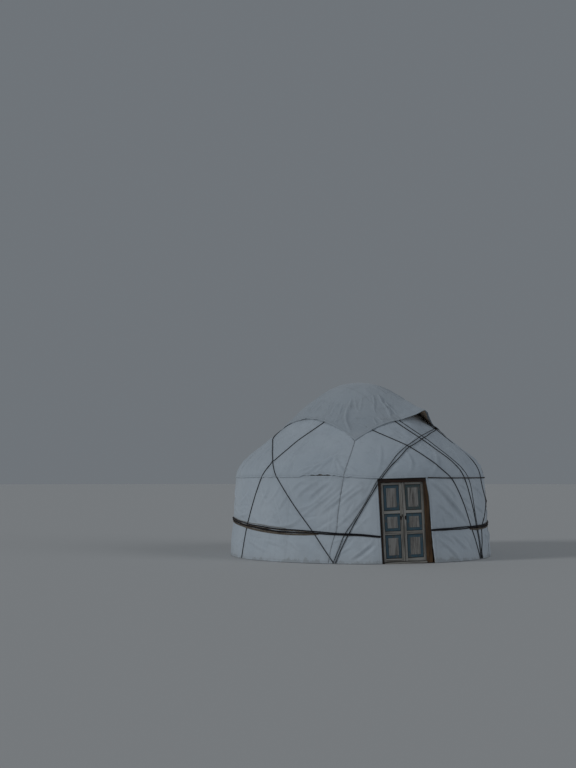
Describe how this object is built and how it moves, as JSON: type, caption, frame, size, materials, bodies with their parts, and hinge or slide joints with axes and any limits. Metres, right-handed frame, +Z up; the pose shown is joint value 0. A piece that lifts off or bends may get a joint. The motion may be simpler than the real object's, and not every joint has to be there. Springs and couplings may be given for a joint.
{
  "type": "yurt",
  "caption": "Canvas-covered yurt on a wooden lattice and roof poles, with a square crown flap, binding ropes and a two-leaf panelled door that opens inwards",
  "frame": {"origin": "on the ground, on the axis of the round wall", "axes": "+Z up; the door faces -Y; +X is to the right as one faces the door from outside"},
  "size_m": [4.8936, 4.8576, 3.2824],
  "materials": {
    "wall_canvas": "white cotton canvas, washed out and creased",
    "roof_canvas": "white cotton canvas, drawn tight over the felt",
    "flap_canvas": "white cotton canvas over felt, folded and weathered",
    "felt": "pressed sheep's-wool felt, matt",
    "lattice_wood": "split willow slats, bare and handled",
    "pole_wood": "round peeled poles, bare",
    "crown_wood": "steamed hardwood, stained brown",
    "frame_wood": "dark stained timber, worn to orange-brown on its edges",
    "leaf_wood": "weathered bare board, grey-beige",
    "painted_panels": "carved panel with a worn turquoise border, bare in the middle",
    "iron": "forged iron, dark and slightly rusted",
    "rope": "twisted hair rope, dark brown",
    "belt": "woven hair bands, dark brown and tan"
  },
  "bodies": {
    "root": {"door_sill": "frame_wood", "left_jamb": "frame_wood", "right_jamb": "frame_wood", "lintel": "frame_wood", "jamb_hinge_pins": "iron", "lattice_front_left": "lattice_wood", "lattice_back_left": "lattice_wood", "lattice_back_right": "lattice_wood", "lattice_front_right": "lattice_wood", "roof_poles_left": "pole_wood", "roof_poles_back": "pole_wood", "roof_poles_right": "pole_wood", "roof_poles_door": "pole_wood", "crown_ring": "crown_wood", "crown_bars_lengthwise": "crown_wood", "crown_bars_crosswise": "crown_wood", "wall_felt_front_left": "felt", "wall_felt_back_left": "felt", "wall_felt_back_right": "felt", "wall_felt_front_right": "felt", "wall_canvas_front_left": "wall_canvas", "wall_canvas_back_left": "wall_canvas", "wall_canvas_back_right": "wall_canvas", "wall_canvas_front_right": "wall_canvas", "roof_felt_front": "felt", "roof_felt_back": "felt", "roof_canvas_front": "roof_canvas", "roof_canvas_back": "roof_canvas", "crown_flap": "flap_canvas", "belt_left": "belt", "belt_right": "belt", "ropes_front": "rope", "ropes_back": "rope"},
    "left_leaf": {"left_leaf_frame": "leaf_wood", "left_leaf_panels": "painted_panels", "left_leaf_hinges": "iron", "left_door_ring": "iron", "meeting_bead": "leaf_wood"},
    "right_leaf": {"right_leaf_frame": "leaf_wood", "right_leaf_panels": "painted_panels", "right_leaf_hinges": "iron", "right_door_ring": "iron"}
  },
  "joints": [
    {"name": "left_leaf_hinge", "type": "hinge", "parent": "root", "child": "left_leaf", "pos_m": [-0.40027, -2.27904, 0.68444], "axis": [-0.0279, 0.0436, 0.9987], "range_deg": [0, 95]},
    {"name": "right_leaf_hinge", "type": "hinge", "parent": "root", "child": "right_leaf", "pos_m": [0.40141, -2.27904, 0.70683], "axis": [0.0279, -0.0436, -0.9987], "range_deg": [0, 95]}
  ]
}
